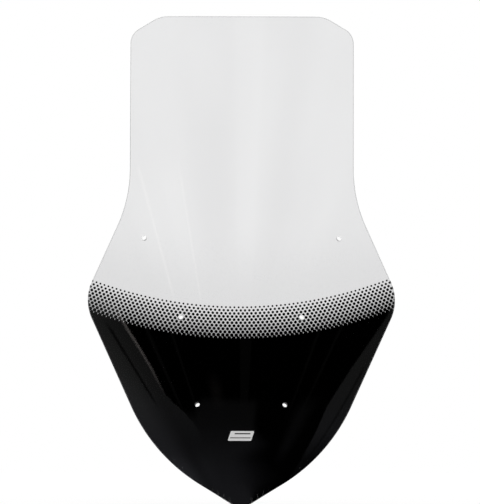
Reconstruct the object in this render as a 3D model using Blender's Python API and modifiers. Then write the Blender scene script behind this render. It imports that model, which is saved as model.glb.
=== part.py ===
"""Touring windshield screen for a motorcycle.

One sheet of clear acrylic, formed to a shallow crown that tightens into a prow at the foot.
The back of its lower half is printed black, a band of dots fades the black out upwards,
six open bolt holes fix the sheet to the machine and a small badge sits on the front.

Metres, +Z up. X = 0 is the plane of symmetry, the front of the screen faces -Y and the
rider sits on the +Y side. The origin is the centre of the screen's bounding box.
"""

import math

import bmesh
import bpy
from mathutils import Vector

# ---------------------------------------------------------------- driving dimensions
SHEET_THICKNESS = 0.004
HEIGHT = 0.6741                # of the top edge above the tip corner of the outline

# Half outline seen from the front, as corners (x, z, corner radius) from the top edge down.
TOP_CORNER = (0.1136, HEIGHT, 0.0422)
SHOULDER = (0.1545, 0.6496, 0.0231)
WAIST = (0.1542, 0.4213, 0.1939)
WIDEST = (0.2172, 0.2815, 0.0622)
CHIN = (0.1192, 0.0690, 0.2357)
TIP = (0.0, -0.0001, 0.0220)
ARC_STEP = math.radians(3)

# Centre line seen from the side: its slope (depth gained per metre of height).
SLOPE_AT_TIP = 0.600
SLOPE_AT_TOP = 0.344

# Crown: each level section is a hyperbola that leaves the nose round and runs out straight.
CROWN_FLANK_SLOPE = 1.0
CROWN_LENGTH_AT_TIP = 0.042
CROWN_GROWTH = 1.04            # growth of the crown's length per metre of height

# Bolt holes, right-hand ones; each has its mirror image on the left.
HOLE_RADIUS = 0.0035
HOLE_SEGMENTS = 24
HOLES = {"upper": (0.1343, 0.3672), "middle": (0.0827, 0.2588), "lower": (0.0598, 0.1401)}
SEAT_HALF = 0.009              # the sheet is flat this far above and below each hole
CUTTER_LENGTH = 0.030

# Print on the back. Its edges bow upwards towards the sides: z = height + PRINT_BOW * x * x.
PRINT_BOW = 0.942
BLACK_TOP = 0.2295
BAND_TOP = 0.2741
PRINT_THICKNESS = 0.0001
PRINT_GAP = 0.0001             # clearance between the sheet and the print
PRINT_REACH = 0.998            # share of the half width that the print covers
PRINT_FOOT = 0.0012            # the print starts this far above the tip
NODE_GAP = 0.0003              # clearance between the black and the dotted band

# Badge: a flat plate with slanted ends and two long slots.
BADGE_HEIGHT_ON_SHEET = 0.0978
BADGE_WIDTH = 0.0362
BADGE_HEIGHT = 0.0130
BADGE_SLANT = 0.34             # sideways lean of its ends for each metre of height
BADGE_SLOTS = {                # (left, right, bottom, top) from the middle of the badge
    "upper": (-0.0096, 0.0118, 0.0022, 0.0038),
    "lower": (-0.0140, 0.0140, -0.0032, -0.0020),
}
BADGE_THICKNESS = 0.0003
BADGE_GAP = 0.0001
BADGE_BLANK_MARGIN = 0.002     # the blank it is cut from is this much larger all round
BADGE_CUT_DEPTH = 0.010        # the cutters reach this far before and behind the blank

# Lattice that every sheet is built on: level rows, and columns as shares of the half width.
SEAT_COLUMNS = {"upper": (0.71, 0.82), "middle": (0.335, 0.45), "lower": (0.335, 0.45)}
ROW_STEP = 0.018
CORNER_ROW_STEP = 0.005
FOOT_HEIGHT = 0.012            # the rows are closer than this far above the tip
COLUMN_STEP = 0.115
ROW_CLEARANCE = 0.001          # shortest step between the print's edge and the next row
BOW_STARTS, BOW_FULL = 0.060, 0.209    # the rows take on the print's bow between these
BOW_FADES, BOW_ENDS = 0.289, 0.440     # and lose it again between these heights
ROW_SEARCH_STEPS = 30
NORMAL_STEP = 0.00001
BADGE_COLUMN_STEP = 0.005
BADGE_ROW_STEP = 0.006

MIRROR_MERGE = 0.00005
WELD = 0.00001
SHARP_ANGLE = math.radians(30)


# ---------------------------------------------------------------- formed surface
def crown_length(z):
    return CROWN_LENGTH_AT_TIP + CROWN_GROWTH * max(z, 0.0)


def depth_at(x, z):
    """Y of the front face, before the origin is moved to the middle of the screen."""
    centre_line = SLOPE_AT_TIP * z + (SLOPE_AT_TOP - SLOPE_AT_TIP) * z * z / (2 * HEIGHT)
    length = crown_length(z)
    return centre_line + CROWN_FLANK_SLOPE * (math.hypot(x, length) - length)


def front_point(x, z):
    return Vector((x, depth_at(x, z), z))


def front_normal(x, z):
    """Unit normal of the front face, pointing out of the front."""
    step = NORMAL_STEP
    across = (depth_at(x + step, z) - depth_at(x - step, z)) / (2 * step)
    upwards = (depth_at(x, z + step) - depth_at(x, z - step)) / (2 * step)
    return Vector((across, -1.0, upwards)).normalized()


# ---------------------------------------------------------------- outline
def rounded_corner(before, corner, after):
    """Points of the arc that rounds off a corner (x, z, radius) between its neighbours."""
    at = Vector(corner[:2])
    back = (Vector(before[:2]) - at).normalized()
    on = (Vector(after[:2]) - at).normalized()
    half = back.angle(on) / 2
    centre = at + (back + on).normalized() * (corner[2] / math.sin(half))
    start = at + back * (corner[2] / math.tan(half)) - centre
    turn = (math.pi - 2 * half) * math.copysign(1, back.cross(on))
    steps = max(2, math.ceil(abs(turn) / ARC_STEP))
    points = []
    for i in range(steps + 1):
        a = -turn * i / steps
        points.append(
            centre
            + Vector((
                start.x * math.cos(a) - start.y * math.sin(a),
                start.x * math.sin(a) + start.y * math.cos(a),
            ))
        )
    return points


def side_outline():
    """The half outline from the end of the straight top edge round to the tip, as (x, z)."""
    top_centre = (0.0, HEIGHT)
    mirror_chin = (-CHIN[0], CHIN[1])
    corners = [top_centre, TOP_CORNER, SHOULDER, WAIST, WIDEST, CHIN, TIP, mirror_chin]
    points = []
    for before, corner, after in zip(corners, corners[1:], corners[2:]):
        points += rounded_corner(before, corner, after)
    right_half = [p for p in points if p.x > WELD]
    lowest = min(p.y for p in points)
    return right_half + [Vector((0.0, lowest))]


def smoothstep(low, high, value):
    t = min(max((value - low) / (high - low), 0.0), 1.0)
    return t * t * (3 - 2 * t)


def row_bow(height):
    """Upward bow of a lattice row: that of the print around it, and none at tip and top."""
    rising = smoothstep(BOW_STARTS, BOW_FULL, height)
    falling = 1 - smoothstep(BOW_FADES, BOW_ENDS, height)
    return PRINT_BOW * rising * falling


def row_end(outline, height):
    """Where the row that crosses the centre line at this height meets the outline."""
    bow = row_bow(height)
    above = outline[0]
    for below in outline[1:]:
        start = above.y - bow * above.x ** 2 - height
        end = below.y - bow * below.x ** 2 - height
        if end <= 0:
            return above.lerp(below, start / (start - end)) if start > 0 else above
        above = below
    return outline[-1]


def row_height_at(x, z):
    """Height at the centre line of the row that passes through (x, z)."""
    height = z
    for _ in range(ROW_SEARCH_STEPS):
        height = z - row_bow(height) * x * x
    return height


# ---------------------------------------------------------------- lattice
def filled(fixed, step):
    """The fixed values in rising order, with even steps no longer than step between them."""
    fixed = sorted(fixed)
    values = [fixed[0]]
    for low, high in zip(fixed, fixed[1:]):
        parts = max(1, math.ceil((high - low) / step - 1e-6))
        values += [low + (high - low) * i / parts for i in range(1, parts + 1)]
    return values


def seat_rows(name):
    x, z = HOLES[name]
    return row_height_at(x, z - SEAT_HALF), row_height_at(x, z + SEAT_HALF)


def lattice_rows(outline):
    seats = [height for name in HOLES for height in seat_rows(name)]
    widest = max(outline, key=lambda point: point.x)
    widest_row = row_height_at(widest.x, widest.y)
    tip = outline[-1].y
    foot = filled([tip, tip + PRINT_FOOT, tip + FOOT_HEIGHT], CORNER_ROW_STEP)
    corner = filled([SHOULDER[1] - SHOULDER[2] / 2, HEIGHT], CORNER_ROW_STEP)
    body = filled(foot[-1:] + seats + [BLACK_TOP, widest_row, BAND_TOP] + corner[:1], ROW_STEP)
    return foot[:-1] + body + corner[1:]


def lattice_columns():
    edges = {edge for pair in SEAT_COLUMNS.values() for edge in pair}
    return filled({0.0, 1.0} | edges, COLUMN_STEP)


def seat_frame(name):
    """Middle and outward normal of the flat seat round a hole."""
    x, z = HOLES[name]
    return front_point(x, z), front_normal(x, z)


def seat_of(row, column):
    """The seat that this lattice point lies on, or None."""
    for name, (inner, outer) in SEAT_COLUMNS.items():
        low, high = seat_rows(name)
        if low - WELD < row < high + WELD and inner - WELD < column < outer + WELD:
            return name
    return None


def lattice_point(outline, row, column, depth, reach=1.0):
    """A point of the sheet, depth behind its front face. Columns stop at reach."""
    end = row_end(outline, row)
    x = end.x * min(column, reach)
    z = end.y - row_bow(row) * (end.x ** 2 - x ** 2)
    point, normal = front_point(x, z), front_normal(x, z)
    seat = seat_of(row, column)
    if seat:
        middle, normal = seat_frame(seat)
        point -= normal * (point - middle).dot(normal)
    return point - normal * depth


# ---------------------------------------------------------------- building blocks
def collection(name):
    made = bpy.data.collections.new(name)
    bpy.context.scene.collection.children.link(made)
    return made


def material(name, colour, roughness, alpha=1.0):
    made = bpy.data.materials.new(name)
    made.use_nodes = True
    shader = made.node_tree.nodes["Principled BSDF"]
    shader.inputs["Base Color"].default_value = (*colour, 1.0)
    shader.inputs["Roughness"].default_value = roughness
    shader.inputs["Metallic"].default_value = 0.0
    shader.inputs["Alpha"].default_value = alpha
    made.diffuse_color = (*colour, alpha)
    return made


def slab_object(name, columns, rows, place, group, half=False):
    """A closed sheet whose point (column, row) lies at place(column, row, side).

    side is 0 on the back and 1 on the front. It starts as a flat slab of one cell for each
    lattice cell, every cell split along the same diagonal on both sides, so that sheets on
    one lattice lie flat on each other. A half is left open at its first column and mirrored.
    """
    bm = bmesh.new()
    bmesh.ops.create_grid(bm, x_segments=len(columns) - 1, y_segments=len(rows) - 1, size=1.0)
    bmesh.ops.triangulate(bm, faces=bm.faces, quad_method="FIXED")
    raised = bmesh.ops.extrude_face_region(bm, geom=bm.faces[:])["geom"]
    front = [part for part in raised if isinstance(part, bmesh.types.BMVert)]
    bmesh.ops.translate(bm, verts=front, vec=(0, 0, 1))
    bmesh.ops.recalc_face_normals(bm, faces=bm.faces)
    if half:
        inner = [face for face in bm.faces if all(vert.co.x < WELD - 1 for vert in face.verts)]
        bmesh.ops.delete(bm, geom=inner, context="FACES_ONLY")
    for vert in bm.verts:
        i = round((vert.co.x + 1) / 2 * (len(columns) - 1))
        j = round((vert.co.y + 1) / 2 * (len(rows) - 1))
        vert.co = place(columns[i], rows[j], round(vert.co.z))
    bmesh.ops.remove_doubles(bm, verts=bm.verts, dist=WELD)
    mesh = bpy.data.meshes.new(name)
    bm.to_mesh(mesh)
    bm.free()
    mesh.shade_smooth()
    mesh.set_sharp_from_angle(angle=SHARP_ANGLE)
    made = bpy.data.objects.new(name, mesh)
    group.objects.link(made)
    if half:
        mirror = made.modifiers.new("mirror", "MIRROR")
        mirror.use_axis = (True, False, False)
        mirror.use_clip = True
        mirror.merge_threshold = MIRROR_MERGE
    return made


def add_boolean(obj, cutter, operation="DIFFERENCE"):
    boolean = obj.modifiers.new(cutter.name, "BOOLEAN")
    boolean.operation = operation
    boolean.solver = "EXACT"
    boolean.object = cutter


def as_cutter(obj):
    obj.hide_render = True
    obj.display_type = "WIRE"
    return obj


# ---------------------------------------------------------------- cutters
def hole_cutters(group):
    """One cylinder for each bolt hole, square to the sheet, as {hole name: (right, left)}."""
    made = {}
    for name in HOLES:
        middle, normal = seat_frame(name)
        pair = []
        for side, sign in (("right", 1), ("left", -1)):
            mesh = bpy.data.meshes.new(f"cutter_{name}_{side}")
            bm = bmesh.new()
            bmesh.ops.create_cone(
                bm, cap_ends=True, segments=HOLE_SEGMENTS,
                radius1=HOLE_RADIUS, radius2=HOLE_RADIUS, depth=CUTTER_LENGTH,
            )
            bm.to_mesh(mesh)
            bm.free()
            cutter = bpy.data.objects.new(mesh.name, mesh)
            axis = Vector((sign * normal.x, normal.y, normal.z))
            cutter.rotation_mode = "QUATERNION"
            cutter.rotation_quaternion = axis.to_track_quat("Z", "Y")
            cutter.location = (sign * middle.x, middle.y, middle.z)
            group.objects.link(as_cutter(cutter))
            pair.append(cutter)
        made[name] = pair
    return made


def add_ring(bm, points, y):
    verts = [bm.verts.new((x, y, z)) for x, z in points]
    return bm.faces.new(verts)


def prism(name, points, y_front, y_back, group):
    """A straight prism along Y over an outline of (x, z) points, to cut the badge with."""
    mesh = bpy.data.meshes.new(name)
    bm = bmesh.new()
    face = add_ring(bm, points, y_front)
    moved = bmesh.ops.extrude_face_region(bm, geom=[face])
    verts = [part for part in moved["geom"] if isinstance(part, bmesh.types.BMVert)]
    bmesh.ops.translate(bm, verts=verts, vec=(0, y_back - y_front, 0))
    bmesh.ops.recalc_face_normals(bm, faces=bm.faces)
    bm.to_mesh(mesh)
    bm.free()
    made = bpy.data.objects.new(name, mesh)
    group.objects.link(as_cutter(made))
    return made


def slanted_box(left, right, bottom, top):
    """A box on the badge whose ends lean with the badge, as (x, z) points."""
    corners = [(left, bottom), (right, bottom), (right, top), (left, top)]
    return [(x + BADGE_SLANT * z, BADGE_HEIGHT_ON_SHEET + z) for x, z in corners]


def badge_outline():
    half_height = BADGE_HEIGHT / 2
    half_width = BADGE_WIDTH / 2 - BADGE_SLANT * half_height
    return slanted_box(-half_width, half_width, -half_height, half_height)


# ---------------------------------------------------------------- pieces
def screen_panel(outline, holes, group):
    """The clear sheet itself."""
    panel = slab_object(
        "screen_panel", lattice_columns(), lattice_rows(outline),
        lambda column, row, side: lattice_point(outline, row, column, (1 - side) * SHEET_THICKNESS),
        group, half=True,
    )
    for pair in holes.values():
        for cutter in pair:
            add_boolean(panel, cutter)
    panel.data.materials.append(material("clear_acrylic", (0.86, 0.88, 0.90), 0.05, 0.35))
    return panel


def print_rows(outline, low, high):
    """Lattice rows between two heights, with the two heights themselves as first and last."""
    between = [
        row for row in lattice_rows(outline) if low + ROW_CLEARANCE < row < high - ROW_CLEARANCE
    ]
    return [low] + between + [high]


def back_print(name, outline, low, high, cutters, colour, group):
    """A layer of ink on the back of the sheet between two heights."""
    depths = (SHEET_THICKNESS + PRINT_GAP + PRINT_THICKNESS, SHEET_THICKNESS + PRINT_GAP)
    layer = slab_object(
        name, lattice_columns(), print_rows(outline, low, high),
        lambda column, row, side: lattice_point(outline, row, column, depths[side], PRINT_REACH),
        group, half=True,
    )
    for cutter in cutters:
        add_boolean(layer, cutter)
    layer.data.materials.append(colour)
    return layer


def badge(group, cutters):
    """A thin badge that follows the front of the prow."""
    half_width = BADGE_WIDTH / 2 + BADGE_BLANK_MARGIN
    half_height = BADGE_HEIGHT / 2 + BADGE_BLANK_MARGIN
    low, high = BADGE_HEIGHT_ON_SHEET - half_height, BADGE_HEIGHT_ON_SHEET + half_height
    made = slab_object(
        "badge_decal",
        filled([-half_width, half_width], BADGE_COLUMN_STEP), filled([low, high], BADGE_ROW_STEP),
        lambda x, z, side: front_point(x, z) + front_normal(x, z) * (BADGE_GAP + side * BADGE_THICKNESS),
        group,
    )
    near = depth_at(0.0, low) - BADGE_CUT_DEPTH
    far = depth_at(half_width, high) + BADGE_CUT_DEPTH
    shape = prism("cutter_badge_outline", badge_outline(), near, far, cutters)
    add_boolean(made, shape, "INTERSECT")
    for name, slot in BADGE_SLOTS.items():
        add_boolean(made, prism(f"cutter_badge_{name}_slot", slanted_box(*slot), near, far, cutters))
    made.data.materials.append(material("badge_white", (0.90, 0.90, 0.90), 0.30))
    return made


def sheet_middle(outline):
    """Centre of the sheet's bounding box, where the origin goes."""
    rows, columns = lattice_rows(outline), lattice_columns()
    points = [
        lattice_point(outline, row, column, depth)
        for row in rows for column in columns for depth in (0.0, SHEET_THICKNESS)
    ]
    middle_y = (min(p.y for p in points) + max(p.y for p in points)) / 2
    middle_z = (min(p.z for p in points) + max(p.z for p in points)) / 2
    return Vector((0.0, middle_y, middle_z))


def main():
    for old in list(bpy.data.objects):
        bpy.data.objects.remove(old, do_unlink=True)
    parts = collection("windshield_screen")
    cutters = collection("cutters")
    outline = side_outline()
    holes = hole_cutters(cutters)
    ink = material("black_ink", (0.006, 0.006, 0.007), 0.25)
    dots = material("halftone_ink", (0.02, 0.02, 0.022), 0.25)

    screen_panel(outline, holes, parts)
    tip = outline[-1].y
    back_print("black_ink_mask", outline, tip + PRINT_FOOT, BLACK_TOP, holes["lower"], ink, parts)
    back_print("halftone_ink_band", outline, BLACK_TOP + NODE_GAP, BAND_TOP, holes["middle"], dots, parts)
    badge(parts, cutters)

    middle = sheet_middle(outline)
    for group in (parts, cutters):
        for obj in group.objects:
            obj.location -= middle


main()
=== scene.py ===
import math

import bpy
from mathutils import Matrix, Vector
from mathutils.geometry import delaunay_2d_cdt


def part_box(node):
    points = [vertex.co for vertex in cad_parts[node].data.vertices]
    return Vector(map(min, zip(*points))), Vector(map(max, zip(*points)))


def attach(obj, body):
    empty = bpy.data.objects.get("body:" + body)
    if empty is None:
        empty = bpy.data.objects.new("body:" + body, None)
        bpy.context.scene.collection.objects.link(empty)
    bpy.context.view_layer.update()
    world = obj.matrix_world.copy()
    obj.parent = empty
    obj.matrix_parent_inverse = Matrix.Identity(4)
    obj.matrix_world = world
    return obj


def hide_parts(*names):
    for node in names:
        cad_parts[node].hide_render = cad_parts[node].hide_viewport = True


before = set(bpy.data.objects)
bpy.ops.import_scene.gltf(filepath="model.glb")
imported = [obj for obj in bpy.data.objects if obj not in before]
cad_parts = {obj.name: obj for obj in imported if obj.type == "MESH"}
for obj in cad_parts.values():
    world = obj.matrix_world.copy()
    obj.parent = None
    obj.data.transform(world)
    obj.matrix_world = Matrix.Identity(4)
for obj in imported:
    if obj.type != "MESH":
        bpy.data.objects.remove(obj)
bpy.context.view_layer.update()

# A motorcycle windshield screen: a sheet of clear acrylic with six bolt holes, a black print on the
# back of its lower part that fades out upwards in rows of dots, and a small badge.

# ---------------------------------------------------------------- the sheet, as the CAD has it
# Everything is worked out on the front face in (x, z), with z measured up from the tip, and
# moved into the row frame at the end.
SHEET_THICKNESS = 0.004
HEIGHT = 0.6741
TOP_CORNER = (0.1136, HEIGHT, 0.0422)
SHOULDER = (0.1545, 0.6496, 0.0231)
WAIST = (0.1542, 0.4213, 0.1939)
WIDEST = (0.2172, 0.2815, 0.0622)
CHIN = (0.1192, 0.0690, 0.2357)
TIP = (0.0, -0.0001, 0.0220)
SLOPE_AT_TIP = 0.600
SLOPE_AT_TOP = 0.344
CROWN_LENGTH_AT_TIP = 0.042
CROWN_GROWTH = 1.04
HOLE_RADIUS = 0.0035
HOLES = {"upper": (0.1343, 0.3672), "middle": (0.0827, 0.2588), "lower": (0.0598, 0.1401)}

ARC_STEP = math.radians(1.5)
EDGE_STEP = 0.005              # longest step along the outline
GRID_STEP = 0.0052             # mesh size inside the outline
GRID_CLEARANCE = 0.62          # share of the mesh size that the inner points keep from every loop
MERGE_DISTANCE = 1e-7          # points nearer than this are one point
CENTRE_WIDTH = 1e-5            # a point this near the centre line lies on it
HOLE_SURROUNDINGS = 0.05       # a face further than this from a hole can't lie in it
RIM_RADIUS = 0.0003            # polished round on both edges of the rim
BORE_RADIUS = 0.0001           # broken edge of each bolt hole
ROUND_STEPS = 4
BORE_SEGMENTS = 48

# The camera looks level along +Y from far off. What the picture's height covers is measured at the
# sheet's mid depth.
CAMERA_DISTANCE = 14.0
CAMERA_X = -0.0021
CAMERA_ROLL = -0.0030           # the sheet stands very slightly askew in the frame
CAMERA_Z = 0.3478
EYE_PLANE = 0.1650
SENSOR = 36.0
CLIP_END = 100.0
FRAME_HEIGHT = 0.690
DIFFUSE_LIGHT = 1.45           # strength of the white surroundings as a light


def crown_length(z):
    return CROWN_LENGTH_AT_TIP + CROWN_GROWTH * max(z, 0.0)


def depth_at(x, z):
    centre_line = SLOPE_AT_TIP * z + (SLOPE_AT_TOP - SLOPE_AT_TIP) * z * z / (2 * HEIGHT)
    length = crown_length(z)
    return centre_line + math.hypot(x, length) - length


def front_point(x, z):
    return Vector((x, depth_at(x, z), z))


def front_normal(x, z):
    length = crown_length(z)
    run = math.hypot(x, length)
    growth = CROWN_GROWTH if z > 0 else 0.0
    upwards = (SLOPE_AT_TIP + (SLOPE_AT_TOP - SLOPE_AT_TIP) * z / HEIGHT
               + growth * (length / run - 1))
    return Vector((x / run, -1.0, upwards)).normalized()


def rounded_corner(before, corner, after):
    at = Vector(corner[:2])
    back = (Vector(before[:2]) - at).normalized()
    on = (Vector(after[:2]) - at).normalized()
    half = back.angle(on) / 2
    centre = at + (back + on).normalized() * (corner[2] / math.sin(half))
    start = at + back * (corner[2] / math.tan(half)) - centre
    turn = (math.pi - 2 * half) * math.copysign(1, back.cross(on))
    steps = max(2, math.ceil(abs(turn) / ARC_STEP))
    points = []
    for i in range(steps + 1):
        a = -turn * i / steps
        c, s = math.cos(a), math.sin(a)
        points.append(centre + Vector((start.x * c - start.y * s, start.x * s + start.y * c)))
    return points


def with_steps(points, step):
    """The same closed polygon with no side longer than step."""
    out = []
    for a, b in zip(points, points[1:] + points[:1]):
        parts = max(1, math.ceil((b - a).length / step))
        out += [a.lerp(b, i / parts) for i in range(parts)]
    return out


def outline_loop():
    """The whole outline as a closed polygon of (x, z), clockwise from the top centre."""
    corners = [(0.0, HEIGHT), TOP_CORNER, SHOULDER, WAIST, WIDEST, CHIN, TIP, (-CHIN[0], CHIN[1])]
    points = []
    for before, corner, after in zip(corners, corners[1:], corners[2:]):
        points += rounded_corner(before, corner, after)
    right = [p for p in points if p.x > CENTRE_WIDTH]
    tip = Vector((0.0, min(p.y for p in points)))
    left = [Vector((-p.x, p.y)) for p in reversed(right)]
    return with_steps(right + [tip] + left, EDGE_STEP)


def hole_loop(centre, radius):
    """A circle square to the sheet, as (x, z)."""
    normal = front_normal(*centre)
    across = Vector((1.0, 0.0, 0.0))
    across = (across - normal * across.dot(normal)).normalized()
    up = normal.cross(across)
    loop = []
    for i in range(BORE_SEGMENTS):
        a = 2 * math.pi * i / BORE_SEGMENTS
        p = across * math.cos(a) * radius + up * math.sin(a) * radius
        loop.append(Vector((centre[0] + p.x, centre[1] + p.z)))
    return loop


def hole_pair(name, radius):
    """The loops of a pair of holes, the right one first."""
    x, z = HOLES[name]
    return [hole_loop((sign * x, z), radius) for sign in (1, -1)]


def signed_area(loop):
    return sum(a.x * b.y - b.x * a.y for a, b in zip(loop, loop[1:] + loop[:1])) / 2


def outward_3d(loop, hole):
    """For each point of a loop, the direction in the sheet that leads out of the material."""
    sign = -1 if signed_area(loop) < 0 else 1
    if hole:
        sign = -sign
    out = []
    for before, at, after in zip(loop[-1:] + loop[:-1], loop, loop[1:] + loop[:1]):
        along = front_point(*after) - front_point(*before)
        side = along.cross(front_normal(*at)).normalized() * sign
        out.append(side)
    return out


def inside(loop, x, z):
    """Whether the point lies in the polygon."""
    hit = False
    for a, b in zip(loop, loop[1:] + loop[:1]):
        if (a.y > z) != (b.y > z) and x < a.x + (z - a.y) / (b.y - a.y) * (b.x - a.x):
            hit = not hit
    return hit


def near_loop(loops, distance):
    """A test for points nearer than distance to any of the loops."""
    cells = {}
    for loop in loops:
        for p in loop:
            cells.setdefault((int(p.x // distance), int(p.y // distance)), []).append(p)

    def test(x, z):
        i, j = int(x // distance), int(z // distance)
        at = Vector((x, z))
        return any((p - at).length < distance
                   for di in (-1, 0, 1) for dj in (-1, 0, 1)
                   for p in cells.get((i + di, j + dj), ()))
    return test


def triangulated(loops, step):
    """Triangles over the first loop less the others, with a staggered grid of points inside.

    Returns the points, those of the loops first and in their order, the triangles, and how many
    of the points are the loops' own."""
    points, edges = [], []
    for loop in loops:
        first = len(points)
        points += loop
        edges += [(first + i, first + (i + 1) % len(loop)) for i in range(len(loop))]
    fixed = len(points)
    close = near_loop(loops, step * GRID_CLEARANCE)
    lo_x, hi_x = min(p.x for p in loops[0]), max(p.x for p in loops[0])
    lo_z, hi_z = min(p.y for p in loops[0]), max(p.y for p in loops[0])
    row_step = step * math.sqrt(3) / 2
    for j in range(math.ceil((hi_z - lo_z) / row_step)):
        z = lo_z + (j + 0.5) * row_step
        crossings = sorted(
            a.x + (z - a.y) / (b.y - a.y) * (b.x - a.x)
            for loop in loops for a, b in zip(loop, loop[1:] + loop[:1]) if (a.y > z) != (b.y > z)
        )
        shift = (j % 2) / 2
        for k in range(-math.ceil(-lo_x / step) - 1, math.ceil(hi_x / step) + 1):
            x = (k + shift) * step
            if sum(c < x for c in crossings) % 2 and not close(x, z):
                points.append(Vector((x, z)))
    coords, _, faces, origins = delaunay_2d_cdt(points, edges, [], 1, MERGE_DISTANCE)[:4]
    kept = []
    for face in faces:
        middle = sum((coords[v] for v in face), Vector((0.0, 0.0))) / len(face)
        if any(inside(hole, middle.x, middle.y) for hole in loops[1:]
               if abs(middle.x - hole[0].x) < HOLE_SURROUNDINGS
               and abs(middle.y - hole[0].y) < HOLE_SURROUNDINGS):
            continue
        kept.append([origins[v][0] for v in face])
    return points, kept, fixed


class Build:
    """A mesh in the making: vertices, faces, a normal for each face corner, a material number
    for each face."""

    def __init__(self):
        self.verts, self.faces, self.normals, self.kinds = [], [], [], []

    def vert(self, co):
        self.verts.append(co)
        return len(self.verts) - 1

    def face(self, corners, normals, kind=0):
        self.faces.append(corners)
        self.normals += normals
        self.kinds.append(kind)

    def object(self, name, materials, shift):
        mesh = bpy.data.meshes.new(name)
        mesh.from_pydata([v + shift for v in self.verts], [], self.faces)
        for m in materials:
            mesh.materials.append(m)
        mesh.polygons.foreach_set("material_index", self.kinds)
        mesh.polygons.foreach_set("use_smooth", [True] * len(self.faces))
        mesh.update()
        mesh.normals_split_custom_set([tuple(n) for n in self.normals])
        made = bpy.data.objects.new(name, mesh)
        bpy.context.scene.collection.objects.link(made)
        return made


def facing(build, corners, normal):
    """The corners in the order that makes the face look along normal."""
    a, b, c = (build.verts[i] for i in corners[:3])
    if (b - a).cross(c - a).dot(normal) < 0:
        return corners[::-1]
    return corners


def sheet_build(outline, holes):
    """The sheet: two faces, a rounded rim and six bores, all in one closed mesh.

    The walls of the bores have the second material."""
    build = Build()
    lips = [(outline, RIM_RADIUS, False)] + [(loop, BORE_RADIUS, True) for loop in holes]
    rings, flat_loops = [], []
    for loop, radius, hole in lips:
        outs = outward_3d(loop, hole)
        profile = []
        for i in range(ROUND_STEPS + 1):
            a = math.pi / 2 * i / ROUND_STEPS
            profile.append((radius * (1 - math.sin(a)), radius * (1 - math.cos(a)), a))
        profile += [(inset, SHEET_THICKNESS - depth, math.pi - a) for inset, depth, a in profile[::-1]]
        lip = []
        for inset, depth, a in profile:
            ring = []
            for p, out in zip(loop, outs):
                n = front_normal(*p)
                co = front_point(*p) - out * inset - n * depth
                ring.append((build.vert(co), (n * math.cos(a) + out * math.sin(a)).normalized()))
            lip.append(ring)
        rings.append(lip)
        flat_loops.append([Vector((build.verts[i].x, build.verts[i].z)) for i, _ in lip[0]])
    points, triangles, fixed = triangulated(flat_loops, GRID_STEP)
    front = [i for lip in rings for i, _ in lip[0]]
    back = [i for lip in rings for i, _ in lip[-1]]
    for p in points[fixed:]:
        front.append(build.vert(front_point(*p)))
    for p in points[fixed:]:
        back.append(build.vert(front_point(*p) - front_normal(*p) * SHEET_THICKNESS))
    normals = [front_normal(*p) for p in points]
    for tri in triangles:
        middle = normals[tri[0]]
        up = facing(build, [front[i] for i in tri], middle)
        order = {front[i]: i for i in tri}
        build.face(up, [normals[order[i]] for i in up])
        down = facing(build, [back[i] for i in tri], -middle)
        order = {back[i]: i for i in tri}
        build.face(down, [-normals[order[i]] for i in down])
    for n, lip in enumerate(rings):
        for ring, following in zip(lip, lip[1:]):
            for i in range(len(ring)):
                j = (i + 1) % len(ring)
                quad = [ring[i], ring[j], following[j], following[i]]
                ids = [q[0] for q in quad]
                mean = quad[0][1] + quad[1][1] + quad[2][1] + quad[3][1]
                ordered = facing(build, ids, mean)
                by_id = dict(quad)
                build.face(ordered, [by_id[q] for q in ordered], 1 if n else 0)
    return build


def add_slab(build, points, triangles, loops, low, high, kinds=(0, 0, 0)):
    """A closed layer on the sheet over triangles of (x, z), from depth low to depth high.

    The points start with those of the loops; a loop is (points, whether it is a hole). kinds are
    the material numbers of its face towards the front, its back and its walls."""
    normals = [front_normal(*p) for p in points]
    ups = [build.vert(front_point(*p) - n * low) for p, n in zip(points, normals)]
    downs = [build.vert(front_point(*p) - n * high) for p, n in zip(points, normals)]
    for tri in triangles:
        middle = normals[tri[0]]
        for ids, sign, kind in ((ups, 1, kinds[0]), (downs, -1, kinds[1])):
            ordered = facing(build, [ids[i] for i in tri], middle * sign)
            order = {ids[i]: i for i in tri}
            build.face(ordered, [normals[order[i]] * sign for i in ordered], kind)
    first = 0
    for loop, hole in loops:
        outs = outward_3d(loop, hole)
        for i in range(len(loop)):
            j = (i + 1) % len(loop)
            a, b = first + i, first + j
            mean = outs[i] + outs[j]
            quad = facing(build, [ups[a], ups[b], downs[b], downs[a]], mean)
            side = {ups[a]: outs[i], downs[a]: outs[i], ups[b]: outs[j], downs[b]: outs[j]}
            build.face(quad, [side[q] for q in quad], kinds[2])
        first += len(loop)


# ---------------------------------------------------------------- the print
# The print is laid out flat, as the eye in front of the screen sees it. The rows of dots bow
# upwards towards the sides, and the whole print sits a little skew.
PRINT_BOW = 0.88
PRINT_BOW_GROWTH = 0.45
PRINT_BOW_LOSS = 0.0016         # each row down bows a little less
PRINT_TILT = 0.0084
TOP_ROW = 0.2721
ROW_PITCH = 0.00424
DOT_PITCH_TOP = 0.00580        # pitch along the top row, and how much each row below adds
DOT_PITCH_GROWTH = 0.000039
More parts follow.
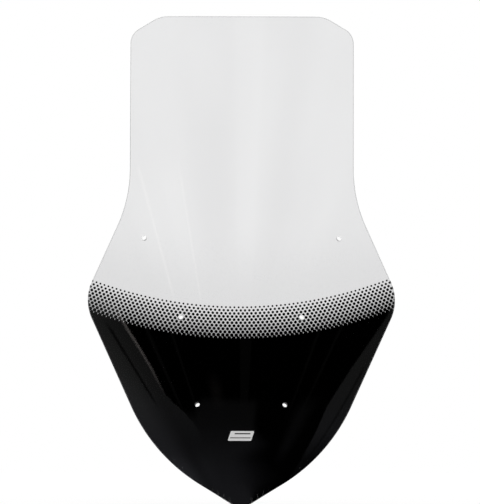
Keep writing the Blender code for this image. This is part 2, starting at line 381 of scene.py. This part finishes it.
# Towards the sides the sheet turns away and the pitch shrinks: shares of the second, third and
# fifth power of the distance from the centre line.
FORESHORTENING = (0.045, 0.12, 10.7)
FORESHORTENING_ROUNDS = 20
SPARE_DOTS = 3                 # tried beyond the widest point, because the pitch shrinks
EVEN_ROW_SHIFT = 0.00208       # a dot's distance from the centre line, in rows 0, 2, 4...
ODD_ROW_SHIFT = -0.00077
DOT_DIAMETERS = (0.0027, 0.0034, 0.0037, 0.0040, 0.0040, 0.0041, 0.0042, 0.0044, 0.0045, 0.0050)
ROWS = len(DOT_DIAMETERS)
DOT_SEGMENTS = 18
EDGE_DOT_DIAMETER = 0.0055     # the row of dots that has run into the solid black
EDGE_ARC_STEPS = 14
EDGE_ARC_SINK = 0.0002         # these dots are round down to this far below their centres
NOTCH_DEPTH = 0.0002           # and the notch between two of them ends in a point this far down
PRINT_INSET = 0.0002           # the print stops this far inside the outline
PRINT_HOLE_INSET = 0.0001
PRINT_GRID_STEP = 0.006
INK_LOW = SHEET_THICKNESS - 0.00004    # the ink grips the sheet, and stands proud of its back
INK_HIGH = SHEET_THICKNESS + 0.00006
REFRACTION_SHIFT = 0.00242     # how far the sheet displaces what is seen through it
ON_SHEET_ROUNDS = 4
CUT_REACH = 0.012              # only the outline this near a dot can cut it
LEAST_DOT_AREA = 4e-7
LEAST_DOT_CORNERS = 4
LEAST_DOT_SIDE = 0.00005
LEAST_BLACK_SIDE = 0.0002


def row_z(k, x):
    return (TOP_ROW - ROW_PITCH * k + PRINT_TILT * x
            + (PRINT_BOW - PRINT_BOW_LOSS * k) * x ** 2 + PRINT_BOW_GROWTH * x ** 4)


def on_sheet(x, z):
    """Where a point of the flat layout falls on the sheet."""
    at = Vector((x, z))
    for _ in range(ON_SHEET_ROUNDS):
        scale = (CAMERA_DISTANCE + depth_at(*at) - EYE_PLANE) / CAMERA_DISTANCE
        normal = front_normal(*at)
        at = Vector((CAMERA_X + (x - CAMERA_X) * scale + normal.x * REFRACTION_SHIFT,
                     CAMERA_Z + (z - CAMERA_Z) * scale + normal.z * REFRACTION_SHIFT))
    return at


def row_dots(k):
    """Centres of the dots of row k in the flat layout, from left to right."""
    pitch = DOT_PITCH_TOP + DOT_PITCH_GROWTH * k
    second, third, fifth = FORESHORTENING
    reach = math.ceil(WIDEST[0] / pitch) + SPARE_DOTS
    centres = []
    for n in range(-reach, reach + 1):
        along = (ODD_ROW_SHIFT if k % 2 else EVEN_ROW_SHIFT) + n * pitch
        x = along
        for _ in range(FORESHORTENING_ROUNDS):
            x = along - second * x ** 2 - third * x ** 3 - fifth * x ** 5
        if abs(x) < WIDEST[0]:
            centres.append((x, row_z(k, x)))
    return centres


def disc(centre, radius):
    return [on_sheet(centre[0] + radius * math.cos(2 * math.pi * i / DOT_SEGMENTS),
                     centre[1] + radius * math.sin(2 * math.pi * i / DOT_SEGMENTS))
            for i in range(DOT_SEGMENTS)]


def inset_loop(loop, inset):
    """The loop drawn in by inset, as (x, z)."""
    out = []
    for p, side in zip(loop, outward_3d(loop, False)):
        q = front_point(*p) - side * inset
        out.append(Vector((q.x, q.z)))
    return out


def cut_by_outline(polygon, border):
    """The part of a small polygon inside the border, which bulges outwards there."""
    clockwise = signed_area(border) < 0
    middle = sum(polygon, Vector((0.0, 0.0))) / len(polygon)
    for a, b in zip(border, border[1:] + border[:1]):
        if min((a - middle).length, (b - middle).length) > CUT_REACH or not polygon:
            continue
        side = (b - a).normalized()
        inward = Vector((side.y, -side.x)) if clockwise else Vector((-side.y, side.x))
        kept = []
        for p, q in zip(polygon, polygon[1:] + polygon[:1]):
            dp, dq = (p - a).dot(inward), (q - a).dot(inward)
            if dp >= 0:
                kept.append(p)
            if (dp >= 0) != (dq >= 0):
                kept.append(p.lerp(q, dp / (dp - dq)))
        polygon = kept
    return polygon


def cut_by_hole(polygon, hole):
    """The part of a small polygon outside a bolt hole's clear circle."""
    middle = sum(hole, Vector((0.0, 0.0))) / len(hole)
    if not any(inside(hole, *p) for p in polygon):
        return polygon
    if all(inside(hole, *p) for p in polygon):
        return []
    out = []
    for p in polygon:
        if inside(hole, *p):
            direction = (p - middle).normalized()
            reach = min(hole, key=lambda h: -(h - middle).normalized().dot(direction))
            p = middle + direction * (reach - middle).length
        out.append(p)
    return out


def tidy_polygon(polygon, least):
    """The polygon without sides of least or shorter."""
    out = []
    for p in polygon:
        if not out or (p - out[-1]).length > least:
            out.append(p)
    while len(out) > 2 and (out[0] - out[-1]).length <= least:
        out.pop()
    return out


def dots_build(border, clear_holes):
    build = Build()
    for k in range(ROWS):
        for centre in row_dots(k):
            polygon = disc(centre, DOT_DIAMETERS[k] / 2)
            polygon = cut_by_outline(polygon, border)
            for hole in clear_holes:
                if polygon:
                    polygon = cut_by_hole(polygon, hole)
            polygon = tidy_polygon(polygon, LEAST_DOT_SIDE)
            if len(polygon) < LEAST_DOT_CORNERS or abs(signed_area(polygon)) < LEAST_DOT_AREA:
                continue
            middle = sum(polygon, Vector((0.0, 0.0))) / len(polygon)
            if not inside(border, *middle):
                continue
            points = polygon + [middle]
            last = len(polygon)
            triangles = [(i, (i + 1) % last, last) for i in range(last)]
            add_slab(build, points, triangles, [(polygon, False)], INK_LOW, INK_HIGH, (0, 1, 1))
    return build


def scalloped_edge(border):
    """The top edge of the solid black, from right to left: edge dots on a bowed line."""
    radius = EDGE_DOT_DIAMETER / 2
    half = math.acos(-EDGE_ARC_SINK / radius)
    points = []
    centres = row_dots(ROWS)[::-1]
    for (x, z), (next_x, _) in zip(centres, centres[1:]):
        lean = math.atan2(row_z(ROWS, x + radius) - row_z(ROWS, x - radius), 2 * radius)
        for i in range(EDGE_ARC_STEPS + 1):
            a = math.pi / 2 + lean - half + 2 * half * i / EDGE_ARC_STEPS
            points.append(on_sheet(x + radius * math.cos(a), z + radius * math.sin(a)))
        notch = (x + next_x) / 2
        points.append(on_sheet(notch, row_z(ROWS, notch) - NOTCH_DEPTH))
    return [p for p in points if inside(border, p.x, p.y)]


def black_build(border, clear_holes):
    edge = scalloped_edge(border)
    start = next(i for i, p in enumerate(border) if p.x > 0 and p.y < edge[0].y)
    end = max(i for i, p in enumerate(border) if p.x < 0 and p.y < edge[-1].y)
    loop = tidy_polygon(border[start:end + 1] + edge[::-1], LEAST_BLACK_SIDE)
    points, triangles, _ = triangulated([loop] + clear_holes, PRINT_GRID_STEP)
    build = Build()
    add_slab(build, points, triangles, [(loop, False)] + [(h, True) for h in clear_holes],
             INK_LOW, INK_HIGH, (0, 1, 1))
    return build


# ---------------------------------------------------------------- the badge
BADGE_MIDDLE = (0.0, 0.0978)
BADGE_WIDTH = 0.0362
BADGE_HEIGHT = 0.0130
BADGE_SLANT = 0.34
BADGE_SLOTS = ((-0.0096, 0.0118, 0.0022, 0.0038), (-0.0140, 0.0140, -0.0032, -0.0020))
BADGE_CORNER = 0.0012
BADGE_SLOT_CORNER = 0.0005
BADGE_CORNER_STEPS = 5
BADGE_EDGE_STEP = 0.0012
BADGE_GRID_STEP = 0.0016
BADGE_FRONT = -0.00030
BADGE_BACK = -0.00002


def slanted_loop(left, right, bottom, top, radius):
    """A box on the badge with leaning ends and rounded corners, as (x, z) on the sheet."""
    corners = [(left, bottom), (left, top), (right, top), (right, bottom)]
    corners = [Vector((x + BADGE_SLANT * z, z)) + Vector(BADGE_MIDDLE) for x, z in corners]
    loop = []
    for before, at, after in zip(corners[-1:] + corners[:-1], corners, corners[1:] + corners[:1]):
        back, on = (before - at).normalized(), (after - at).normalized()
        reach = radius / math.tan(back.angle(on) / 2)
        start, end = at + back * reach, at + on * reach
        for i in range(BADGE_CORNER_STEPS + 1):
            t = i / BADGE_CORNER_STEPS
            loop.append(start * (1 - t) ** 2 + at * 2 * t * (1 - t) + end * t ** 2)
    return with_steps(loop, BADGE_EDGE_STEP)


def badge_build():
    half_height = BADGE_HEIGHT / 2
    half_width = BADGE_WIDTH / 2 - BADGE_SLANT * half_height
    outer = slanted_loop(-half_width, half_width, -half_height, half_height, BADGE_CORNER)
    slots = [slanted_loop(*slot, BADGE_SLOT_CORNER) for slot in BADGE_SLOTS]
    points, triangles, _ = triangulated([outer] + slots, BADGE_GRID_STEP)
    build = Build()
    add_slab(build, points, triangles, [(outer, False)] + [(slot, True) for slot in slots],
             BADGE_FRONT, BADGE_BACK)
    return build


# ---------------------------------------------------------------- numbers in a node tree
class Number:
    """A number in a node tree. Arithmetic with it adds nodes to the tree."""

    def __init__(self, tree, socket):
        self.tree, self.socket = tree, socket

    def math(self, operation, *others):
        node = self.tree.nodes.new("ShaderNodeMath")
        node.operation = operation
        for entry, value in zip(node.inputs, (self, *others)):
            if isinstance(value, Number):
                self.tree.links.new(value.socket, entry)
            else:
                entry.default_value = value
        return Number(self.tree, node.outputs[0])

    def __add__(self, other):
        return self.math("ADD", other)

    def __sub__(self, other):
        return self.math("SUBTRACT", other)

    def __rsub__(self, other):
        return self.math("MULTIPLY_ADD", -1.0, other)

    def __mul__(self, other):
        return self.math("MULTIPLY", other)

    def __truediv__(self, other):
        return self.math("DIVIDE", other)

    __radd__ = __add__
    __rmul__ = __mul__

    def between(self, low, high):
        """For a number from 0 to 1: as far on the way from low to high."""
        return self.math("MULTIPLY_ADD", high - low, low)

    def step(self, span, levels=(0.0, 1.0)):
        """The first level up to the span's start, the second from its end on, softly between."""
        node = self.tree.nodes.new("ShaderNodeMapRange")
        node.interpolation_type = "SMOOTHSTEP"
        for name, value in zip(("From Min", "From Max", "To Min", "To Max"), (*span, *levels)):
            node.inputs[name].default_value = value
        self.tree.links.new(self.socket, node.inputs["Value"])
        return Number(self.tree, node.outputs["Result"])

    def bump(self, middle, half_width):
        """A soft bump that is 1 at middle and 0 further than half_width from it."""
        return (self - middle).math("ABSOLUTE").step((0.0, half_width), (1.0, 0.0))

    def window(self, low, high, soft):
        """1 between low and high with soft ends, 0 outside."""
        return self.step((low - soft, low + soft)) * self.step((high - soft, high + soft), (1.0, 0.0))


def noise(tree, vector, scale, detail=2.0):
    node = tree.nodes.new("ShaderNodeTexNoise")
    node.inputs["Scale"].default_value = scale
    node.inputs["Detail"].default_value = detail
    tree.links.new(vector, node.inputs["Vector"])
    return Number(tree, node.outputs["Fac"])


def combined(red, green, blue):
    """The socket of the colour made of three numbers."""
    node = red.tree.nodes.new("ShaderNodeCombineColor")
    for channel, number in zip(node.inputs, (red, green, blue)):
        red.tree.links.new(number.socket, channel)
    return node.outputs[0]


def tinted(number, tint=(1.0, 1.0, 1.0)):
    return combined(*(number * share for share in tint))


# ---------------------------------------------------------------- materials
# Each pair of numbers is what a noise runs between. A step is (its span, its levels), and is
# counted in height above the top row of dots.
CLEAR_TINT = (0.806, 0.806, 0.811)
CLEAR_IOR = 1.49
CLEAR_PAINTED_SHADE_NEAR_PRINT = ((0.0, 0.110), (0.93, 1.0))          # painted shade: the sheet darkens a little towards the print
CLEAR_DARKER_BETWEEN_DOTS = ((-0.0440, -0.002), (0.48, 1.0))     # the sheet is also much darker between the rows of dots
CLEAR_MOTTLE = (0.992, 1.008)
CLEAR_MOTTLE_SCALE = 14.0
POLISH_ROUGHNESS = (0.005, 0.015)
POLISH_SCALE = 260.0
WAVES_SCALE = 22.0

DRILLED_GREY = (0.76, 0.86)
DRILLED_ROUGHNESS = (0.45, 0.65)
DRILLED_SCALE = 1200.0
DRILLED_PAINTED_SHADE = ((-0.060, -0.045), (0.03, 1.0))   # painted shade: bore walls are black below this height

INK_TINT = (1.0, 1.0, 1.08)
INK_UNEVENNESS = 0.5           # how far the colour strays from its base, as a share of it
INK_ROUGHNESS_SPREAD = 0.06
INK_PATCH_SCALE = 45.0
INK_GRAIN_SCALE = 1400.0

VINYL_TINT = (1.0, 1.0, 0.99)
VINYL_GREY = (0.40, 0.46)
VINYL_ROUGHNESS = (0.3, 0.4)
VINYL_PATCH_SCALE = 120.0
VINYL_GRAIN_SCALE = 900.0


def new_material(name):
    made = bpy.data.materials.new(name)
    made.use_nodes = True
    tree = made.node_tree
    place = tree.nodes.new("ShaderNodeTexCoord").outputs["Object"]
    return made, tree, tree.nodes["Principled BSDF"], place


def finish_surface(shader, colour, roughness, relief, strength, height):
    """Links the colour and the roughness, and a bump of the given strength and height."""
    tree = relief.tree
    tree.links.new(colour, shader.inputs["Base Color"])
    tree.links.new(roughness.socket, shader.inputs["Roughness"])
    bump = tree.nodes.new("ShaderNodeBump")
    bump.inputs["Strength"].default_value = strength
    bump.inputs["Distance"].default_value = height
    tree.links.new(relief.socket, bump.inputs["Height"])
    tree.links.new(bump.outputs["Normal"], shader.inputs["Normal"])


def above_print(tree, place, shift):
    """Height above the top row of dots, following the row's bow, for a point of the object."""
    split = tree.nodes.new("ShaderNodeSeparateXYZ")
    tree.links.new(place, split.inputs[0])
    x, _, z = (Number(tree, socket) for socket in split.outputs)
    return z - (x * x * PRINT_BOW + (TOP_ROW + shift.z))


def acrylic(shift):
    """Clear acrylic: a faint grey tint with painted shade that deepens it towards the ink, darker
    still between the rows of dots, and fine polishing marks.
    """
    made, tree, shader, place = new_material("clear_acrylic_sheet")
    above = above_print(tree, place, shift)
    mottle = noise(tree, place, CLEAR_MOTTLE_SCALE).between(*CLEAR_MOTTLE)
    # painted shade towards the print, a darker tone between the rows of dots, and a random mottle
    shade = above.step(*CLEAR_PAINTED_SHADE_NEAR_PRINT) * above.step(*CLEAR_DARKER_BETWEEN_DOTS) * mottle
    roughness = noise(tree, place, POLISH_SCALE, detail=4.0).between(*POLISH_ROUGHNESS)
    finish_surface(shader, tinted(shade, CLEAR_TINT), roughness, noise(tree, place, WAVES_SCALE),
                   strength=0.05, height=0.0004)
    shader.inputs["IOR"].default_value = CLEAR_IOR
    shader.inputs["Transmission Weight"].default_value = 1.0
    return made


def drilled(shift):
    """The matt wall that a drill leaves in acrylic, with painted shade that blackens it where it goes
    through the print.
    """
    made, tree, shader, place = new_material("drilled_acrylic")
    marks = noise(tree, place, DRILLED_SCALE, detail=3.0)
    # painted shade blackens the bore walls below the top of the print
    shade = marks.between(*DRILLED_GREY) * above_print(tree, place, shift).step(*DRILLED_PAINTED_SHADE)
    finish_surface(shader, tinted(shade), marks.between(*DRILLED_ROUGHNESS), marks,
                   strength=0.3, height=0.00002)
    return made


def ink(name, base, roughness, specular, grain_height):
    """Screen-printed ink: a little uneven in colour and gloss, with a fine grain."""
    made, tree, shader, place = new_material(name)
    patches = noise(tree, place, INK_PATCH_SCALE, detail=3.0)
    shade = patches.between(base * (1 - INK_UNEVENNESS), base * (1 + INK_UNEVENNESS))
    gloss = patches.between(roughness - INK_ROUGHNESS_SPREAD, roughness + INK_ROUGHNESS_SPREAD)
    finish_surface(shader, tinted(shade, INK_TINT), gloss, noise(tree, place, INK_GRAIN_SCALE),
                   strength=0.3, height=grain_height)
    shader.inputs["Specular IOR Level"].default_value = specular
    return made


def vinyl():
    """Off-white vinyl with faint patches and a soft grain."""
    made, tree, shader, place = new_material("badge_vinyl")
    patches = noise(tree, place, VINYL_PATCH_SCALE, detail=3.0)
    finish_surface(shader, tinted(patches.between(*VINYL_GREY), VINYL_TINT),
                   patches.between(*VINYL_ROUGHNESS), noise(tree, place, VINYL_GRAIN_SCALE),
                   strength=0.2, height=0.00003)
    return made


# ---------------------------------------------------------------- assembly
outline = outline_loop()
bores = [loop for name in HOLES for loop in hole_pair(name, HOLE_RADIUS)]
sheet = sheet_build(outline, bores)

low = Vector([min(v[i] for v in sheet.verts) for i in range(3)])
high = Vector([max(v[i] for v in sheet.verts) for i in range(3)])
cad_low, cad_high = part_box("screen_panel")
shift = (cad_low + cad_high) / 2 - (low + high) / 2

# Seen through the sheet the ink has no surface of its own, because it grips the acrylic.
under = ink("ink_under_acrylic", base=0.0006, roughness=0.5, specular=0.0, grain_height=0.00001)
behind = ink("ink_back", base=0.008, roughness=0.40, specular=0.5, grain_height=0.00002)
border = inset_loop(outline, PRINT_INSET)
print_radius = HOLE_RADIUS + PRINT_HOLE_INSET
panel = sheet.object("acrylic_sheet", [acrylic(shift), drilled(shift)], shift)
dots = dots_build(border, hole_pair("middle", print_radius))
dots = dots.object("halftone_dots", [under, behind], shift)
black = black_build(border, hole_pair("lower", print_radius))
black = black.object("black_backprint", [under, behind], shift)
badge = badge_build().object("badge", [vinyl()], shift)

for piece, node, slot in ((panel, "screen_panel", "clear_acrylic"),
                          (dots, "halftone_ink_band", "halftone_ink"),
                          (black, "black_ink_mask", "black_ink"),
                          (badge, "badge_decal", "badge_white")):
    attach(piece, "root")
    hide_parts(node)

# ---------------------------------------------------------------- floor
FLOOR_HALF = 2.0
FLOOR_GAP = 0.0002
FLOOR_GREY = 0.07
FLOOR_GLOW = 0.91              # a lit white sweep: as bright as the surroundings seen past it
FLOOR_ROUGHNESS = 0.8
floor_z = cad_low.z - FLOOR_GAP
floor_mesh = bpy.data.meshes.new("floor")
floor_mesh.from_pydata(
    [(-FLOOR_HALF, -FLOOR_HALF, floor_z), (FLOOR_HALF, -FLOOR_HALF, floor_z),
     (FLOOR_HALF, FLOOR_HALF, floor_z), (-FLOOR_HALF, FLOOR_HALF, floor_z)], [], [(0, 1, 2, 3)])
floor = bpy.data.objects.new("floor", floor_mesh)
bpy.context.scene.collection.objects.link(floor)
pale, _, pale_shader, _ = new_material("pale_floor")
pale_shader.inputs["Base Color"].default_value = (FLOOR_GREY, FLOOR_GREY, FLOOR_GREY, 1.0)
pale_shader.inputs["Roughness"].default_value = FLOOR_ROUGHNESS
pale_shader.inputs["Specular IOR Level"].default_value = 0.0
pale_shader.inputs["Emission Color"].default_value = (1.0, 1.0, 1.0, 1.0)
pale_shader.inputs["Emission Strength"].default_value = FLOOR_GLOW
floor_mesh.materials.append(pale)

# ---------------------------------------------------------------- the studio
# White all round for light and for what is seen through the sheet. Mirror reflections see a dark
# studio with soft boxes instead. They are placed by two numbers: side, how far a direction leans
# from the middle to the right, and lift, how high it lies, counted along the crown of the sheet.
# The clear part mirrors the lower lifts, and the black the higher ones, rising towards the tip.
LEAST_SPREAD = 0.02            # keeps side and lift finite behind the screen
WING_END = (-0.474, -0.462)    # where the left wing ends and the nose begins
GAP_DEPTH = 0.75
FILL_BRIGHTNESS = 0.05
GLOW_BRIGHTNESS = 0.04
RIGHT_LEAN = 2.6
RIGHT_LEAN_START = 0.541
SEAM_LEAN = 1.47
SEAM_DEPTH = 0.5
# Faint lines in the dark middle: side, half width, brightness.
FAINT_LINES = ((-0.410, 0.012, 0.035), (-0.318, 0.010, 0.030),
               (0.348, 0.010, 0.028), (0.425, 0.010, 0.028))
CENTRE_BRIGHTNESS = 0.022
CLOUD_SCALE = 7.0
PATCH_LEFT_DEPTH = 0.55
PATCH_RIGHT_DEPTH = 0.60
OVER_CENTRE_BRIGHTNESS = 0.35
VEIL_BRIGHTNESS = 0.35
STREAK_LEFT_BRIGHTNESS = 0.8
STREAK_RIGHT_BRIGHTNESS = 0.7
AMBER_BRIGHTNESS = 0.045
# Tints, as shares of the plain lamps' red and of the warm lamps' green. The plain lamps' blue
# rises with the lift.
PLAIN_GREEN = 1.02
WARM_RED = 1.08
WARM_BLUE = 0.95

world = bpy.data.worlds.new("studio")
bpy.context.scene.world = world
world.use_nodes = True
studio = world.node_tree


def side_and_lift():
    split = studio.nodes.new("ShaderNodeSeparateXYZ")
    direction = studio.nodes.new("ShaderNodeTexCoord").outputs["Generated"]
    studio.links.new(direction, split.inputs[0])
    x, y, z = (Number(studio, socket) for socket in split.outputs)
    spread = (1.0 - y).math("MAXIMUM", LEAST_SPREAD)
    side = x / spread
    across = side.math("ABSOLUTE").math("MINIMUM", 1.0)
    crown = (1.0 - across * across).math("SQRT")
    return side, z / spread + (1.0 - crown) * CROWN_GROWTH


def left_wing(side, lift, rim, reach):
    """One large box, brighter outwards, with a dark gap. Also its bright, warm inner edge."""
    box = (reach.step(WING_END, (1.0, 0.0)) * side.step((-0.650, -0.480), (0.34, 0.135))
           * lift.step((0.535, 0.560), (1.0, 0.68)) * lift.step((0.559, 0.569), (1.0, 1.4)))
    gap = (side.bump(middle=-0.531, half_width=0.010)
           * lift.window(low=0.507, high=0.539, soft=0.004))
    edge = (rim.bump(middle=-0.4695, half_width=0.0100)
            * lift.window(low=0.500, high=0.530, soft=0.006) * lift.step((0.510, 0.528), (0.80, 0.45)))
    return box * (1.0 - gap * GAP_DEPTH), edge


def nose(side, lift, reach):
    """A high box that fades to the right, with a soft fill beside it and a glow across from it."""
    brow = lift + side.step((-0.36, -0.25), (-0.003, 0.004))
    fade_start = lift.step((0.553, 0.562), (0.08, -0.20)) + lift.step((0.571, 0.578), (0.0, 0.38))
    fade_width = lift.step((0.545, 0.572), (0.06, 0.80)) + lift.step((0.571, 0.578), (0.0, -0.66))
    beyond = (side - fade_start) / fade_width
    box = (lift.step((0.538, 0.580), (0.050, 0.175)) * brow.step((0.537, 0.542))
           * reach.step(WING_END) * beyond.step((0.0, 1.0), (1.0, 0.03)))
    fill = (side.bump(middle=-0.42, half_width=0.12) * lift.step((0.554, 0.564))
            * FILL_BRIGHTNESS)
    glow = (side.bump(middle=0.43, half_width=0.08)
            * lift.window(low=0.538, high=0.560, soft=0.005) * GLOW_BRIGHTNESS)
    return box + fill + glow


def right_wing(side, lift):
    """A narrow box that moves outwards towards the tip, crossed by a dim seam."""
    lean = (lift - RIGHT_LEAN_START).math("MAXIMUM", 0.0) * RIGHT_LEAN
    outwards = side - (lean + lift.step((0.507, 0.529), (0.008, 0.0)))
    box = outwards.step((0.536, 0.546)) * lift.step((0.551, 0.566), (0.150, 0.03))
    seam = ((side - lift * SEAM_LEAN).bump(middle=-0.191, half_width=0.009)
            * lift.window(low=0.526, high=0.562, soft=0.004))
    return box * (1.0 - seam * SEAM_DEPTH)


def dark_middle(side, lift):
    """Faint lines, and the strip light over the centre line."""
    lines = 0.0
    for middle, half_width, brightness in FAINT_LINES:
        lines = side.bump(middle, half_width) * brightness + lines
    centre = (side.window(low=-0.006, high=0.050, soft=0.005)
              * lift.window(low=0.45, high=0.536, soft=0.004) * CENTRE_BRIGHTNESS)
    return lines * lift.window(low=0.40, high=0.540, soft=0.006) + centre


def bright_studio(side, lift):
    """What the clear part of the sheet mirrors: soft clouds, darker patches and a veil."""
    place = studio.nodes.new("ShaderNodeCombineXYZ")
    studio.links.new(side.socket, place.inputs[0])
    studio.links.new(lift.socket, place.inputs[1])
    cloud = noise(studio, place.outputs[0], CLOUD_SCALE, detail=1.0).step((0.35, 0.65), (0.35, 1.0))
    patch_left = (side.bump(middle=-0.085, half_width=0.075)
                  * lift.window(low=0.395, high=0.470, soft=0.02) * PATCH_LEFT_DEPTH)
    patch_right = (side.bump(middle=0.155, half_width=0.13)
                   * lift.window(low=0.425, high=0.49, soft=0.02) * PATCH_RIGHT_DEPTH)
    over_centre = side.window(low=-0.016, high=0.044, soft=0.008) * OVER_CENTRE_BRIGHTNESS
    veil = (side.window(low=-0.215, high=-0.170, soft=0.012)
            * lift.window(low=0.43, high=0.49, soft=0.01) * VEIL_BRIGHTNESS)
    bright = cloud - patch_left - patch_right + over_centre + veil
    return (bright * lift.step((0.445, 0.505), (1.0, 0.0))).math("MAXIMUM", 0.0)


def warm_streaks(side, lift):
    """Two thin streaks down the clear part, and an amber glow in the black, left of its middle."""
    left = (side.bump(middle=-0.268, half_width=0.007)
            * lift.window(low=0.430, high=0.49, soft=0.008) * STREAK_LEFT_BRIGHTNESS)
    right = (side.bump(middle=-0.166, half_width=0.006)
             * lift.window(low=0.43, high=0.49, soft=0.008) * STREAK_RIGHT_BRIGHTNESS)
    amber = (side.bump(middle=-0.165, half_width=0.06)
             * lift.bump(middle=0.531, half_width=0.010) * AMBER_BRIGHTNESS)
    return left + right + amber


def mirrored_colour():
    """The colour of the mirrored studio in every direction."""
    side, lift = side_and_lift()
    rim = side - lift.step((0.500, 0.526), (-0.0100, 0.0050))
    reach = rim - lift.step((0.533, 0.550), (0.0, 0.105))
    wing, edge = left_wing(side, lift, rim, reach)
    plain = (wing + nose(side, lift, reach) + right_wing(side, lift) + dark_middle(side, lift)
             + bright_studio(side, lift))
    warm = warm_streaks(side, lift) + edge
    plain_blue = lift.step((0.52, 0.57), (1.0, 1.16))
    return combined(plain + warm * WARM_RED, plain * PLAIN_GREEN + warm,
                    plain * plain_blue + warm * WARM_BLUE)


def light_the_studio():
    path = studio.nodes.new("ShaderNodeLightPath")
    diffuse, glossy, reflection = (Number(studio, path.outputs[name]) for name in
                                   ("Is Diffuse Ray", "Is Glossy Ray", "Is Reflection Ray"))
    mix = studio.nodes.new("ShaderNodeMix")
    mix.data_type = "RGBA"
    studio.links.new((glossy * reflection).socket, mix.inputs["Factor"])
    studio.links.new(tinted(diffuse.between(1.0, DIFFUSE_LIGHT)), mix.inputs["A"])
    studio.links.new(mirrored_colour(), mix.inputs["B"])
    background = studio.nodes["Background"]
    studio.links.new(mix.outputs["Result"], background.inputs["Color"])
    background.inputs["Strength"].default_value = 1.0


light_the_studio()

# ---------------------------------------------------------------- camera
camera_data = bpy.data.cameras.new("camera")
camera_data.lens = SENSOR * CAMERA_DISTANCE / FRAME_HEIGHT
camera_data.sensor_width = SENSOR
camera_data.clip_end = CLIP_END
camera = bpy.data.objects.new("camera", camera_data)
camera.location = Vector((CAMERA_X, EYE_PLANE - CAMERA_DISTANCE, CAMERA_Z)) + shift
camera.rotation_euler = (math.pi / 2, CAMERA_ROLL, 0.0)
bpy.context.scene.collection.objects.link(camera)
bpy.context.scene.camera = camera
bpy.context.scene.view_settings.view_transform = "Standard"
